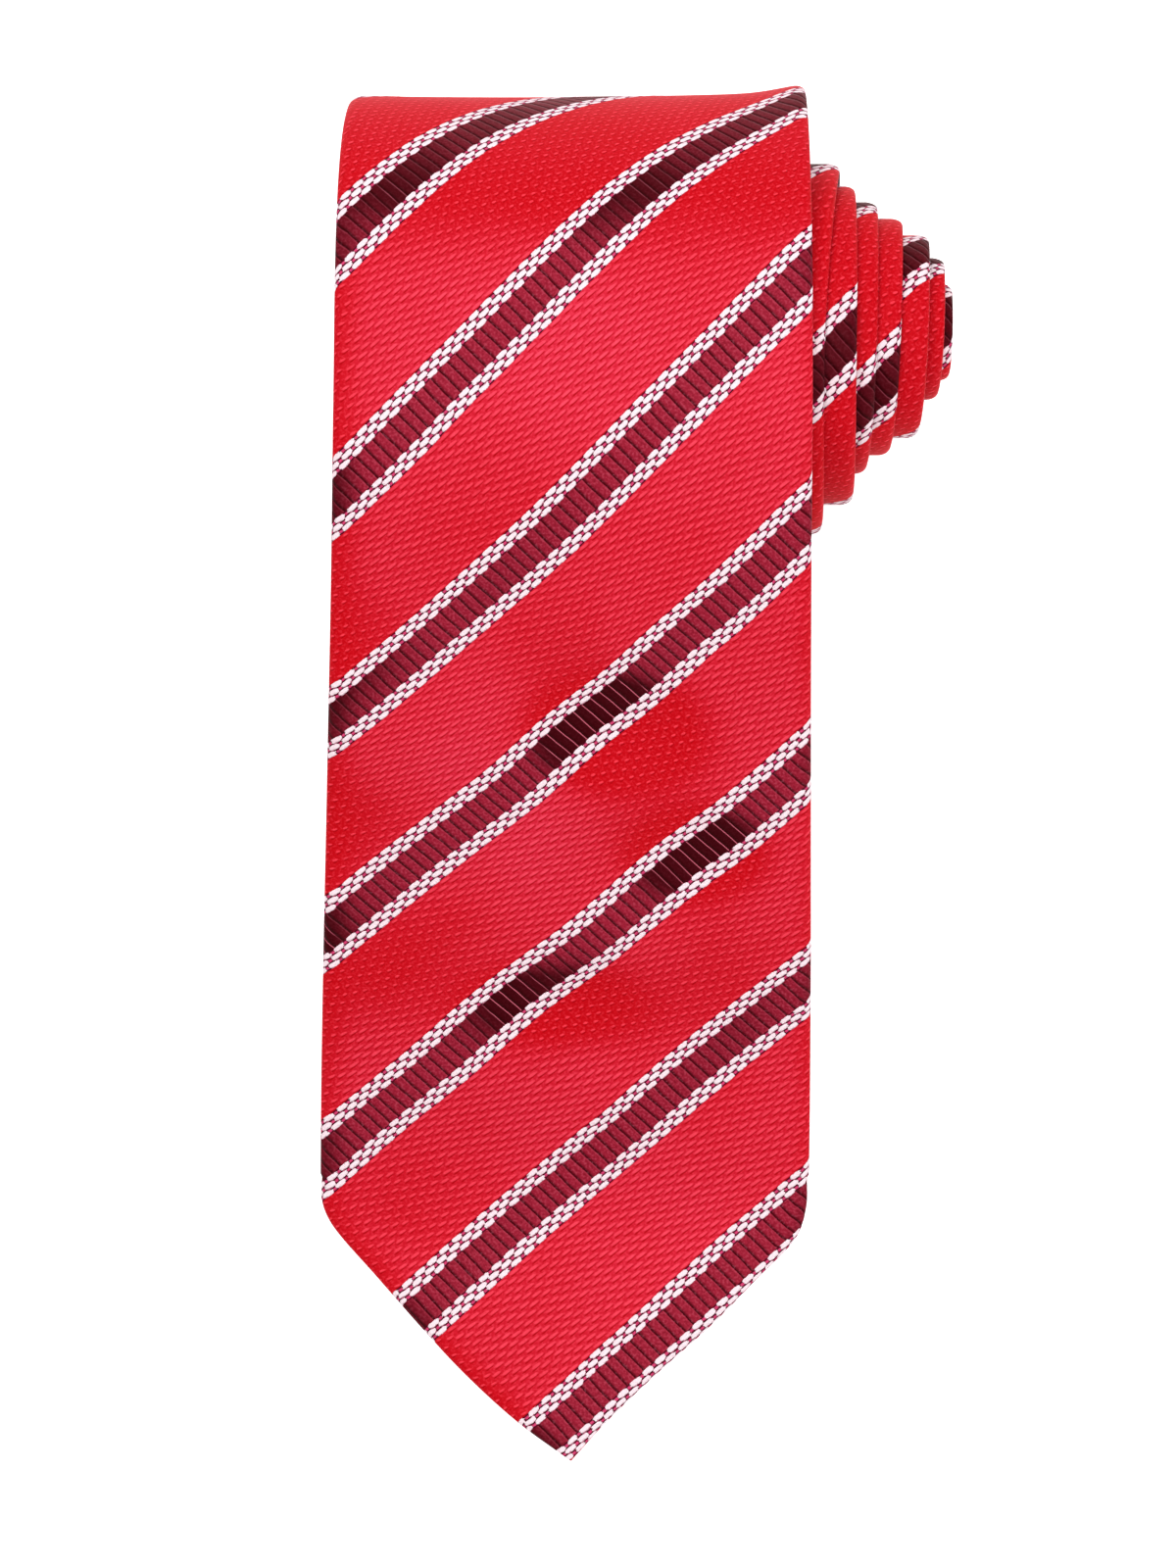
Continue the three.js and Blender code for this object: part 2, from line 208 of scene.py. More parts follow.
def flap_edges(s):
    """Where the folded-back flaps end, on either side of the seam at the back."""
    opening = 0
    for from_end, seam in ((s, SEAM_S), (LENGTH - s, TAIL_SEAM)):
        window = np.minimum(from_end - HEM, (seam - from_end) * FLAP_SLOPE)
        opening = opening + np.maximum(window, 0)
    middle = 1.5 * np.maximum(0, 1 - s / SEAM_S)
    return middle - SEAM_GAP / 2 - opening, middle + SEAM_GAP / 2 + opening


def middle_x(s):
    turn = np.interp(s, ROUTE[:, 0], ROUTE[:, 1])
    rolled = through(RIGHT_EDGES, turn) - half_width(s)
    top = RIGHT_EDGES[0][1] - half_width(LEAVE_S)
    lying = AXIS_X + (s - AXIS_S) * (top - AXIS_X) / (LEAVE_S - AXIS_S)
    return np.where(s > LEAVE_S, rolled, lying)


def ripple(s, x):
    """Soft unevenness of the free blade and of the bend at the roll's far side."""
    free = smooth(30, 75, s) * (1 - smooth(165, LEAVE_S - 6, s))
    waves = sum(high * np.sin(by_s * s + by_x * x + phase) for high, by_s, by_x, phase in WAVES)
    waves = waves - DIP_DEPTH * sum(bell for bell, _ in dents(s, x))
    side = np.clip(x / 40, -1.1, 1.1)
    corner = 1.3 * np.exp(-(((x - 41) / 7) ** 2))
    far = np.exp(-(((s - 285) / 26) ** 2)) * (0.55 * side**2 + 0.35 * side + corner)
    tip = 0.5 * (1 - smooth(0, 40, s)) * (1 - 0.3 * np.cos(x / 9))
    return waves * free + far + tip


def place(s, x, n):
    """Strip coordinates in millimetres as points in metres."""
    s, x, n = np.broadcast_arrays(*(np.asarray(v, float) for v in (s, x, n)))
    columns = [np.interp(s, ROUTE[:, 0], ROUTE[:, k]) for k in range(2, 6)]
    y, z, ny, nz = columns
    size = np.hypot(ny, nz)
    n = n + ripple(s, x)
    return np.stack([x + middle_x(s), y + n * ny / size, z + n * nz / size], -1) / 1000


def dents(s, x, deepest=None):
    """Places where the free blade dips: how deep each is there, and the offset across from it."""
    for dent_s, dent_x, reach_s, reach_x, depth in DENTS[:deepest]:
        off_x = (x - dent_x) / reach_x
        bell = np.exp(-(((s - dent_s) / reach_s) ** 2) - off_x**2)
        yield depth * bell, off_x


def weave_at(s, x):
    """Distance across and along the stripes, in millimetres, of a place on the cloth."""
    warp = 2.0 * np.sin(np.pi * np.clip((s - STRIPE_S) / 181, 0, 1))
    slant = 0.93 + 0.13 * smooth(110, 200, s) - 0.1 * smooth(235, 275, s)
    slant = slant + 0.04 * smooth(290, 340, s)
    along = s - STRIPE_S - warp - through(STRIPE_DRIFT, s)
    drift = sum(1.9 * bell * off_x for bell, off_x in dents(s, x))
    return (along - slant * x + drift) / np.sqrt(2), (along + x) / np.sqrt(2)


def painted_shade_at(s, x):
    """Painted shade: how far the silk's colour is darkened, as if turned from the light that makes
    it gleam, from 0 to 1.
    """
    left, right = edges(s)
    # Painted shade along both edges, most along the left one, and on the back flaps.
    edge = np.exp(-(((x - left) / 4.5) ** 2)) + 0.6 * np.exp(-(((x - right) / 2.5) ** 2))
    outside = 0.6 * smooth(0.2, 1.2, np.maximum(left - x, x - right))
    # Painted shade in slow waves and at the listed spots.
    waves = 0.08 * np.sin(0.05 * s + 0.06 * x + 1.1) * np.sin(0.031 * s - 0.045 * x + 0.4)
    broad = sum(
        amount * np.exp(-(((s - at_s) / reach) ** 2) - ((x - at_x) / reach) ** 2)
        for at_s, at_x, reach, amount in PAINTED_SHADE_SPOTS
    )
    # Painted shade over the three deepest dips.
    dips = sum(0.8 * smooth(0.02, 0.72, bell) for bell, _ in dents(s, x, deepest=3))
    free = 0.36 + waves + 0.45 * edge + broad + dips
    # Painted shade over the bend at the roll's far side and on the roll beyond it.
    bend = smooth(224, 247, s)
    turned = 0.78 + 0.12 * smooth(290, 330, s) + 0.14 * np.exp(-(((s - 246) / 7) ** 2))
    return np.clip(np.maximum(free * (1 - bend) + turned * bend, outside), 0, 1)


# ---------- Meshes ----------


def grid_faces(start, rows, columns, flip):
    i, j = np.meshgrid(np.arange(rows - 1), np.arange(columns - 1), indexing="ij")
    a = (start + i * columns + j).ravel()
    quad = np.stack([a, a + columns, a + columns + 1, a + 1], 1)
    return quad[:, ::-1] if flip else quad


def new_piece(name, points, faces, weave, material, sharp_from=None):
    """A smooth-shaded mesh object. Faces from sharp_from on are rims, with hard edges."""
    mesh = bpy.data.meshes.new(name)
    mesh.from_pydata(points.reshape(-1, 3), [], faces)
    mesh.shade_smooth()
    layer = mesh.attributes.new("weave", "FLOAT_VECTOR", "POINT")
    layer.data.foreach_set("vector", np.asarray(weave, np.float32).ravel())
    if sharp_from is not None:
        hard = mesh.attributes.new("sharp_edge", "BOOLEAN", "EDGE")
        flags = np.zeros(len(mesh.edges), bool)
        for polygon in mesh.polygons[sharp_from:]:
            for loop in polygon.loop_indices:
                flags[mesh.loops[loop].edge_index] = True
        hard.data.foreach_set("value", flags)
    mesh.materials.append(material)
    piece = bpy.data.objects.new(name, mesh)
    bpy.context.scene.collection.objects.link(piece)
    return piece


def sheet_piece(name, s, upper, lower, material):
    """A closed sheet over the stations s. upper and lower hold x, n and the cloth's own x, each
    as an array of one row per station, both running right to left."""
    s = np.asarray(s, float)[:, None]
    points, weave, faces, start = [], [], [], 0
    for flip, (x, n, cloth_x) in ((False, upper), (True, lower)):
        points.append(place(s, x, n).reshape(-1, 3))
        across, along = weave_at(s, cloth_x)
        # The weave attribute's third value is the painted shade.
        weave.append(np.stack([across, along, painted_shade_at(s, cloth_x)], -1).reshape(-1, 3))
        faces.extend(grid_faces(start, *x.shape, flip).tolist())
        start += x.size
    rows, wide = upper[0].shape
    narrow = lower[0].shape[1]
    below = rows * wide
    rim_start = len(faces)
    for i in range(rows - 1):
        u, v = i * wide, below + i * narrow
        faces.append([u, v, v + narrow, u + wide])
        u, v = u + wide - 1, v + narrow - 1
        faces.append([u, u + wide, v + narrow, v])
    for i, flip in ((0, False), (rows - 1, True)):
        ring = list(range(i * wide, (i + 1) * wide))
        ring += list(range(below + (i + 1) * narrow - 1, below + i * narrow - 1, -1))
        faces.append(ring[::-1] if flip else ring)
    return new_piece(
        name, np.concatenate(points), faces, np.concatenate(weave), material, rim_start
    )


def shell_side(s, height, wall, face_step, flap_step):
    """x, n and cloth x of the shell's outer or inner side: flap, rolled edge, face, edge, flap."""
    s = np.asarray(s, float)[:, None]
    left, right = edges(s)
    flap_left, flap_right = flap_edges(s)
    slanted = np.maximum(1 - smooth(44, 52, s), smooth(LENGTH - 30, LENGTH - 22, s))
    bend = np.minimum(2.0 + 0.8 * slanted, (right - left) * 0.3)
    wall = np.minimum(wall, (right - left) * 0.2)
    widest = float((right - left).max())
    flap = np.linspace(0, 1, max(4, int(widest / 2 / flap_step)))[None, :]
    face = np.linspace(0, 1, max(6, int(widest / face_step)))[None, 1:-1]
    angle = np.radians(np.linspace(-90, 90, 11))[None, :]
    flap_end_right = right - bend
    flap_end_left = left + bend
    arc_length = bend * (angle + np.pi / 2) * 0.8
    turned = arc_length[:, -1:]
    x_parts = [
        flap_right + (flap_end_right - flap_right) * flap[:, :-1],
        flap_end_right + (bend - wall) * np.cos(angle),
        flap_end_right + (flap_end_left - flap_end_right) * face,
        flap_end_left - (bend - wall) * np.cos(angle[:, ::-1]),
        (flap_end_left + (flap_left - flap_end_left) * flap)[:, 1:],
    ]
    flat = np.ones_like(s)
    n_parts = [
        -height * np.ones_like(x_parts[0]),
        height * np.sin(angle) * flat,
        height * np.ones_like(x_parts[2]),
        height * np.sin(angle[:, ::-1]) * flat,
        -height * np.ones_like(x_parts[4]),
    ]
    cloth_parts = [
        flap_end_right + turned + (flap_end_right - x_parts[0]),
        flap_end_right + turned - arc_length,
        x_parts[2],
        flap_end_left - turned + arc_length[:, ::-1],
        flap_end_left - turned - (x_parts[4] - flap_end_left),
    ]
    return tuple(np.concatenate(parts, 1) for parts in (x_parts, n_parts, cloth_parts))


def shell_piece(name, start, end, step, face_step, flap_step):
    s = np.linspace(start, end, int((end - start) / step) + 1)
    upper = shell_side(s, HALF, 0, face_step, flap_step)
    x, n, cloth_x = upper
    across, _ = weave_at(s[:, None], cloth_x)
    row = np.mod(across / ROW + REPEAT_ROWS / 2, REPEAT_ROWS) - REPEAT_ROWS / 2
    group = DARK_ROWS / 2 + WHITE_ROWS
    raised = 1 - smooth(group - 0.4, group + 0.4, np.abs(row))
    upper = (x, n + np.sign(n) * PROUD * raised * (np.abs(n) > HALF - 0.01), cloth_x)
    lower = shell_side(s, HALF - CLOTH, EDGE_WALL, 3.0, 4.0)
    return sheet_piece(name, s, upper, lower, silk)


def layer_piece(name, start, end, low, high, inset, material, slot, step=1.5):
    s = np.linspace(start, end, max(3, int((end - start) / step)))
    left, right = (v[:, None] for v in edges(s, inset))
    t = np.linspace(0, 1, max(3, int(float((right - left).max()) / 2.5)))[None, :]
    x = right + (left - right) * t
    return sheet_piece(name, s, (x, high + 0 * x, x), (x, low + 0 * x, x), material)


def strip_piece(name, start, end, low, high, x0, width, material, slot, shape=None):
    """A strip of fixed width. shape(u, v) adds height, with u along and v across, from -1 to 1."""
    s = np.linspace(start, end, max(6, int((end - start) / 0.5)))
    v = np.linspace(1, -1, max(6, int(width / 0.6)))[None, :]
    u = (2 * (s - start) / (end - start) - 1)[:, None]
    x = x0 + width / 2 * v + 0 * u
    lift = shape(u, v) if shape else 0 * x
    return sheet_piece(name, s, (x, high + lift, x), (x, low + lift, x), material)


def thread_piece(name, path, radius, material, around=8):
    """A tube along strip coordinates s, x, n, with its twist in the weave attribute."""
    path = np.array(path, float)
    centre = place(path[:, 0], path[:, 1], path[:, 2])
    tangent = np.gradient(centre, axis=0)
    tangent /= np.maximum(np.linalg.norm(tangent, axis=1), 1e-12)[:, None]
    side = np.cross(tangent, (0.31, 0.17, 0.93))
    side /= np.linalg.norm(side, axis=1)[:, None]
    up = np.cross(tangent, side)
    angle = np.linspace(0, 2 * np.pi, around, endpoint=False)
    ring = np.cos(angle)[None, :, None] * side[:, None] + np.sin(angle)[None, :, None] * up[:, None]
    points = (centre[:, None] + ring * radius / 1000).reshape(-1, 3)
    travel = np.r_[0, np.cumsum(np.linalg.norm(np.diff(centre, axis=0), axis=1))] * 1000
    weave = np.stack(
        np.broadcast_arrays(angle[None, :] * radius, travel[:, None], np.zeros((1, 1))), -1
    ).reshape(-1, 3)
    faces = []
    for i in range(len(path) - 1):
        for j in range(around):
            a, b = i * around + j, i * around + (j + 1) % around
            faces.append([a, b, b + around, a + around])
    faces.append(list(range(around))[::-1])
    faces.append(list(range((len(path) - 1) * around, len(path) * around)))
    return new_piece(name, points, faces, weave, material)


# ---------- Materials ----------


class Value:
    """A number that varies over a surface. Arithmetic on it adds Math nodes to its tree."""

    def __init__(self, tree, socket):
        self.tree, self.socket = tree, socket

    def math(self, operation, *others, clamp=False):
        node = self.tree.nodes.new("ShaderNodeMath")
        node.operation, node.use_clamp = operation, clamp
        for target, value in zip(node.inputs, (self, *others)):
            if isinstance(value, Value):
                self.tree.links.new(value.socket, target)
            else:
                target.default_value = value
        return Value(self.tree, node.outputs[0])

    def __add__(self, other):
        return self.math("ADD", other)

    def __sub__(self, other):
        return self.math("SUBTRACT", other)

    def __mul__(self, other):
        return self.math("MULTIPLY", other)

    def __truediv__(self, other):
        return self.math("DIVIDE", other)

    def __mod__(self, other):
        return self.math("FLOORED_MODULO", other)

    def __pow__(self, other):
        return self.math("POWER", other)

    def flip(self):
        return (self * -1) + 1

    def size(self):
        return self.math("ABSOLUTE")

    def rise(self, low, high):
        """0 below low, 1 above high, smooth between."""
        node = self.tree.nodes.new("ShaderNodeMapRange")
        node.interpolation_type = "SMOOTHSTEP"
        self.tree.links.new(self.socket, node.inputs["Value"])
        node.inputs["From Min"].default_value = low
        node.inputs["From Max"].default_value = high
        return Value(self.tree, node.outputs["Result"])


class Surface:
    """A Principled material with helpers for patterns in the weave's own millimetres."""

    def __init__(self, name, attribute="weave"):
        self.material = bpy.data.materials.new(name)
        self.material.use_nodes = True
        self.tree = self.material.node_tree
        self.shader = self.tree.nodes["Principled BSDF"]
        source = self.tree.nodes.new("ShaderNodeAttribute")
        source.attribute_name = attribute
        split = self.tree.nodes.new("ShaderNodeSeparateXYZ")
        self.tree.links.new(source.outputs["Vector"], split.inputs[0])
        # The third value, side, is the painted shade of the silk, and zero on threads.
        self.across, self.along, self.side = (Value(self.tree, o) for o in split.outputs)

    def noise(self, size, detail=2.0, stretch=(1, 1), seed=0.0):
        """Noise from 0 to 1 with features of the given size in millimetres."""
        node = self.tree.nodes.new("ShaderNodeTexNoise")
        join = self.tree.nodes.new("ShaderNodeCombineXYZ")
        for value, scale, target in zip((self.across, self.along), stretch, join.inputs):
            self.tree.links.new((value * (scale / size)).socket, target)
        join.inputs[2].default_value = seed
        self.tree.links.new(join.outputs[0], node.inputs["Vector"])
        node.inputs["Scale"].default_value = 1
        node.inputs["Detail"].default_value = detail
        return Value(self.tree, node.outputs["Fac"])

    def mix(self, amount, a, b):
        node = self.tree.nodes.new("ShaderNodeMix")
        node.data_type = "RGBA"
        self.tree.links.new(amount.socket, node.inputs["Factor"])
        for value, target in ((a, node.inputs[6]), (b, node.inputs[7])):
            if isinstance(value, tuple):
                target.default_value = (*value, 1)
            else:
                self.tree.links.new(value, target)
        return node.outputs[2]

    def finish(self, colour, height, roughness, **constants):
        """Links colour, height in millimetres and roughness, and sets constants on the shader."""
        self.tree.links.new(colour, self.shader.inputs["Base Color"])
        bump = self.tree.nodes.new("ShaderNodeBump")
        bump.inputs["Distance"].default_value = 0.001
        self.tree.links.new(height.socket, bump.inputs["Height"])
        self.tree.links.new(bump.outputs[0], self.shader.inputs["Normal"])
        self.tree.links.new(roughness.socket, self.shader.inputs["Roughness"])
        for name, value in constants.items():
            self.shader.inputs[name.replace("_", " ")].default_value = value
        return self.material


# Silk colours. The plain red and wine are where the silk gleams, and the deep red and deep wine are
# the same with painted shade. The red glint and spark are painted highlights on the dashes, where
# the silk gleams and where it is shaded, and they also lighten specks of grain. The wine glint is
# the painted highlight line on the ribs and also lighter specks of grain. The red shadow darkens
# specks of grain and is the painted shadow below each dash.
RED, RED_GLINT, RED_SPARK = (0.565, 0.0160, 0.0400), (0.86, 0.078, 0.135), (0.84, 0.045, 0.072)
RED_IN_SHADE, RED_GRAIN_AND_SHADOW = (0.465, 0.0018, 0.0060), (0.350, 0.0008, 0.0035)
WINE, WINE_SPECK_AND_GLINT, WINE_IN_SHADE = (0.275, 0.0110, 0.0290), (0.62, 0.130, 0.190), (0.027, 0.0003, 0.0012)
WINE_GRAIN = (0.130, 0.0030, 0.0090)
WHITE, MAUVE = (0.84, 0.69, 0.73), (0.36, 0.085, 0.140)
ROSE, PLUM = (0.60, 0.050, 0.150), (0.060, 0.0010, 0.0080)


def make_silk():
    """Red ground of small staggered floats, with stripes: white floats beside dark ribs."""
    m = Surface("woven_silk")
    across = m.across + (m.noise(6, seed=3) - 0.5) * 0.35
    along = m.along + (m.noise(7, seed=7) - 0.5) * 0.6
    fibre = m.noise(0.22, detail=3, stretch=(1.0, 0.3), seed=1)
    patchy = m.noise(2.2, detail=2, seed=11)
    # Painted shade from the weave attribute, with slow noise added, and masks of it: for the
    # ground's red, for the dark band's darkening and the dashes' brightness, for the dashes' shape,
    # and for the rib highlight lines.
    turned = m.side + (m.noise(16, detail=2, seed=5) - 0.5) * 0.35
    painted_red_shade = turned.rise(-0.25, 1.05)
    deep = turned.rise(0.38, 1.04)
    shade_for_dash_shape = turned.rise(0.4, 0.8)
    deepest_painted_shade = turned.rise(0.9, 1.0)

    # Which row of floats this is, how far across it, and how far along its float, in millimetres.
    row = across / ROW
    index = row.math("FLOOR")
    over = (row - index - 0.5) * ROW
    shift = (index % 2) * 0.5
    run = ((along / FLOAT + shift) % 1.0 - 0.5) * FLOAT
    place_in_repeat = (index + REPEAT_ROWS / 2) % REPEAT_ROWS - (REPEAT_ROWS / 2 - 0.5)
    from_middle = place_in_repeat.size()
    half_dark, half_group = DARK_ROWS / 2, DARK_ROWS / 2 + WHITE_ROWS
    dark = from_middle.rise(half_dark - 0.01, half_dark + 0.01).flip()
    group = from_middle.rise(half_group - 0.01, half_group + 0.01).flip()
    white = group - dark

    # Ground: small raised dashes, each with a painted highlight on it and a painted shadow below
    # it.
    lean = over + run * (shade_for_dash_shape * 0.16 + 0.10)
    long_dash = shade_for_dash_shape * -0.80 + 1.32
    dash = ((run / long_dash) ** 2 + (lean / (shade_for_dash_shape * -0.10 + 0.36)) ** 2).flip().math("MAXIMUM", 0)
    under = ((run / (long_dash + 0.2)) ** 2 + ((lean + 0.43) / 0.21) ** 2).flip().math("MAXIMUM", 0)
    # Painted shade: the ground turns a deeper red, and its highlights redder, where the painted
    # shade is strong.
    ground = m.mix(painted_red_shade, RED, RED_IN_SHADE)
    highlight_and_speck = m.mix(painted_red_shade, RED_GLINT, RED_SPARK)
    grain = m.noise(0.5, detail=3, seed=21)
    ground = m.mix(grain.rise(0.48, 0.72) * 0.3, ground, RED_GRAIN_AND_SHADOW)
    ground = m.mix(grain.rise(0.36, 0.52).flip() * 0.22, ground, highlight_and_speck)
    # Painted shadow below each dash.
    ground = m.mix(under.rise(0.0, 0.5) * 0.95, ground, RED_GRAIN_AND_SHADOW)
    # Painted highlight on each dash, stronger at random and where the painted shade is deep.
    bright = patchy.rise(0.2, 0.6) * 0.26 + 0.34 + deep * 0.18
    ground = m.mix(dash.rise(0.0, 0.8) * bright, ground, highlight_and_speck)

    # White rows: plump floats with a dark line round them and a glimpse of rose between.
    tilt = over + run * 0.10 - 0.035
    end = run - tilt * 0.45 + (fibre - 0.5) * 0.5
    ragged = (m.noise(0.40, detail=3, stretch=(1.0, 0.6), seed=15) - 0.5) * 2.3
    oval = (end.size() / 1.14) ** 3.2 + (tilt.size() / 0.485) ** 2.8 + ragged
    plump = oval.flip().math("MAXIMUM", 0) ** 0.6
    glimpse = (over.size().rise(0.12, 0.30).flip()) * (run.size().rise(1.12, 1.3))
    between = m.mix(run.size().rise(0.8, 1.05), MAUVE, PLUM)
    between = m.mix(glimpse * (fibre.rise(0.3, 0.6) * 0.4 + 0.6), between, ROSE)
    float_colour = m.mix(fibre.rise(0.4, 0.75) * 0.45, WHITE, (0.74, 0.46, 0.54))
    light = m.mix(plump.rise(0.08, 0.42), between, float_colour)

    # Dark band: ribs across the stripe, each rounded, with painted shade on one side running to a
    # thin painted lit edge.
    rib = (along / RIB) % 1.0
    body = rib.rise(0.0, 0.38) * rib.rise(0.94, 1.0).flip()
    wine = m.mix(body, WINE_IN_SHADE, WINE)
    wine = m.mix(grain.rise(0.45, 0.7) * 0.55, wine, WINE_GRAIN)
    wine = m.mix(grain.rise(0.34, 0.5).flip() * 0.16, wine, WINE_SPECK_AND_GLINT)
    # Painted shade: the dark band goes near black where the painted shade is deep.
    wine = m.mix(deep * 0.94, wine, WINE_IN_SHADE)
    # Painted highlight: a thin bright line at each rib's lit edge, strongest where the painted
    # shade is deepest.
    glint = ((rib - 0.90).size() / 0.06).flip().math("MAXIMUM", 0)
    wine = m.mix(glint.rise(0.0, 0.8) * (deepest_painted_shade * 0.7 + 0.10), wine, WINE_SPECK_AND_GLINT)

    colour = m.mix(white, ground, light)
    colour = m.mix(dark, colour, wine)
    hump = ((rib - 0.5).size() * 2) ** 4
    height = plump * white * 0.2 + dash * (group.flip() * 0.07) + hump.flip() * dark * 0.16
    height = height + fibre * 0.015
    roughness = dark * -0.06 + 0.55 + (fibre - 0.5) * 0.15
    return m.finish(colour, height, roughness, Specular_IOR_Level=0.02)


def plain_cloth(name, colours, pitch, depth, rough, lean=0.0, **constants):
    """A plain or twill cloth: fine threads both ways, with colour that varies a little."""
    m = Surface(name)
    line = (m.across + m.along * lean) / pitch
    cross = m.along / pitch
    threads = (line % 1.0 - 0.5).size() * 2
    picks = (cross % 1.0 - 0.5).size() * 2
    height = (threads * threads).flip() * depth + (picks * picks).flip() * (depth * 0.6)
    fuzz = m.noise(0.6, detail=4, seed=2)
    cloud = m.noise(7, detail=2, seed=9)
    colour = m.mix(cloud, colours[0], colours[1])
    colour = m.mix(threads.rise(0.5, 1.0) * 0.4, colour, colours[2])
    height = height + fuzz * depth * 0.8
    return m.finish(colour, height, (fuzz - 0.5) * 0.2 + rough, **constants)


def make_thread():
    m = Surface("twisted_thread")
    ply = (m.across * 1.2 + m.along * 1.6) % 1.0 - 0.5
    round_ply = ((ply.size() * 2) ** 2).flip()
    colour = m.mix(round_ply, (0.30, 0.004, 0.012), (0.72, 0.02, 0.04))
    return m.finish(colour, round_ply * 0.05, m.noise(0.5) * 0.2 + 0.4, Sheen_Weight=0.2)


silk = make_silk()
canvas = plain_cloth(
    "brushed_canvas", [(0.78, 0.73, 0.62), (0.70, 0.64, 0.52), (0.55, 0.50, 0.40)], 0.7, 0.1, 0.9
)
lining = plain_cloth(
    "satin_lining", [(0.42, 0.010, 0.022), (0.33, 0.006, 0.016), (0.20, 0.003, 0.010)],
    0.45, 0.03, 0.36, lean=0.5, Sheen_Weight=0.1,
)
ribbon = plain_cloth(
    "label_ribbon", [(0.035, 0.008, 0.012), (0.022, 0.005, 0.008), (0.09, 0.02, 0.03)],
    0.5, 0.05, 0.5,
)
care_ribbon = plain_cloth(
    "care_ribbon", [(0.86, 0.84, 0.80), (0.80, 0.78, 0.74), (0.66, 0.64, 0.60)],
    0.4, 0.03, 0.42,
)
thread = make_thread()

# ---------- Pieces ----------

BEND_LENGTH = 26  # how far back from HINGE, along the blade, the point BLENDED lies
HINGE = place(LEAVE_S, 0, HALF)
BLENDED = place(LEAVE_S - BEND_LENGTH, 0, HALF)
BLADE_START, TAIL_GAP = 1.2, 1.9  # how far the shell stops short of each point
BLADE_LAYERS, LAYERS = 1.9, 1.95  # width of the flat cloth, in widths of the folded tie
CANVAS, LINING, SEAM_CLOTH = (-0.3, 0.45), (-0.7, -0.45), (0.52, 0.7)  # heights in the tie
INSET, SEAM_INSET = 2.6, 3.0  # how far they stay inside its edges
CORE_GAP = 8  # how far canvas and lining stop short of each point
ALLOWANCE = 5.5  # seam allowance at a join


def bends(piece, node):
    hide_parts(node)
    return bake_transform(piece)


def rides(piece, body, *nodes):
    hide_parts(*nodes)
    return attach(piece, body)


def as_sheet(piece, layers, start, end, inset=0.0):
    """Works out the area and flat size of a piece cut from the tie's own outline, layers times as
    wide as the tie, keeps neither, and returns the piece.
    """
    s = np.linspace(start, end, 400)
    left, right = edges(s, inset)
    wide = (right - left) * layers
    area = float(np.mean(wide)) * (end - start) / 1e6
    flat = (max(float(wide.max()) / 1000, 0.0101), (end - start) / 1000)
    min(area, flat[0] * flat[1])
    return piece


def cut_sheet(piece, width, length):
    return (piece, width / 1000, length / 1000)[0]


# A shell's last three numbers are its mesh steps: along, across the face and across the flaps.
blade_shell = shell_piece("blade_shell", BLADE_START, LEAVE_S, 0.7, 0.68, 2.0)
bends(as_sheet(blade_shell, BLADE_LAYERS, BLADE_START, LEAVE_S), "front_shell_blade")
for name, node, start, end, steps in (
    ("wrap_shell", "front_shell_wrap", LEAVE_S, FRONT_JOIN - 0.1, (1.15, 0.9, 3.0)),
    ("neck_cloth", "neck_shell", FRONT_JOIN + 0.1, TAIL_JOIN - 0.1, (1.1, 0.9, 3.0)),
    ("tail_cloth", "tail_shell", TAIL_JOIN + 0.1, LENGTH - TAIL_GAP, (1.1, 0.9, 3.0)),
):
    piece = shell_piece(name, start, end, *steps)
    rides(as_sheet(piece, LAYERS, start, end), "roll", node)

core = layer_piece("blade_canvas", CORE_GAP, LEAVE_S, *CANVAS, INSET, canvas, "canvas")
bends(as_sheet(core, 1, CORE_GAP, LEAVE_S, INSET), "interlining_blade")
for name, node, start, end in (
    ("wrap_canvas", "interlining_wrap", LEAVE_S, CANVAS_JOIN - 0.2),
    ("tail_canvas", "interlining_tail", CANVAS_JOIN + 0.2, LENGTH - CORE_GAP),
):
    piece = layer_piece(name, start, end, *CANVAS, INSET, canvas, "canvas")
    rides(as_sheet(piece, 1, start, end, INSET), "roll", node)

for name, node, body, start, end in (
    ("front_lining", "front_tipping", "blade", CORE_GAP, TIPPING_END),
    ("tail_lining", "tail_tipping", "roll", LENGTH - TAIL_SEAM - 16, LENGTH - CORE_GAP),
):
    piece = layer_piece(name, start, end, *LINING, INSET, lining, "lining")
    rides(as_sheet(piece, 1, start, end, INSET), body, node)

for name, node, join in (
    ("front_join_cloth", "front_join_seam", FRONT_JOIN),
    ("tail_join_cloth", "tail_join_seam", TAIL_JOIN),
):
    start, end = join - ALLOWANCE, join + ALLOWANCE
    piece = layer_piece(name, start, end, *SEAM_CLOTH, SEAM_INSET, silk, "silk_shell", 0.5)
    rides(as_sheet(piece, 1, start, end, SEAM_INSET), "roll", node)


SLIP_PITCH, SLIP_RADIUS, SATIN_RADIUS, BACKSTITCH_RADIUS = 12.0, 0.15, 0.2, 0.17


def slip_path(start, end):
    """A thread that lies in the back seam and crosses it in a short stitch at every pitch."""
    path = []
    for s in np.arange(start, end - SLIP_PITCH, SLIP_PITCH):
        path += [(s, 0, -1.0), (s + 9.0, 0, -1.0), (s + 9.6, -0.7, -1.27), (s + 10.4, 0, -1.36)]
        path += [(s + 11.2, 0.7, -1.27), (s + 11.7, 0.2, -1.05)]
    return path


